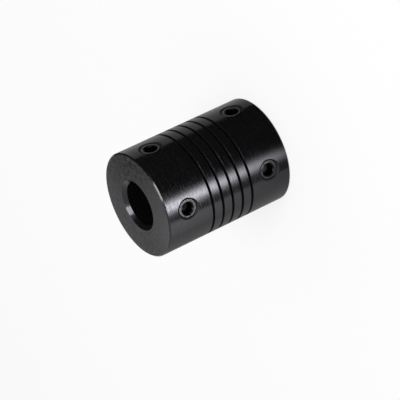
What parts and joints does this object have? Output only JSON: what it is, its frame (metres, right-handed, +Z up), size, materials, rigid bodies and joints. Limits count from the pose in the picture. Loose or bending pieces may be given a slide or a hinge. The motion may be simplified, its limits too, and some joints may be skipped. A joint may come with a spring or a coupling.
{
  "type": "flexible shaft coupling",
  "caption": "One-piece cylindrical shaft coupling with a helical cut through its middle, a chamfered bore and set screws in both hubs.",
  "frame": {"origin": "centre of the lower end face, on the shaft axis, where the coupling stands", "axes": "+Z up the shaft axis towards the upper end face; +X through the first set screw of each hub"},
  "size_m": [0.019, 0.019, 0.0254],
  "materials": {
    "body": "black anodised, fine turned satin",
    "set_screw": "black oxide"
  },
  "bodies": {
    "root": {"coupling_body": "body", "upper_set_screw_a": "set_screw", "upper_set_screw_b": "set_screw", "lower_set_screw_a": "set_screw", "lower_set_screw_b": "set_screw"}
  },
  "joints": []
}
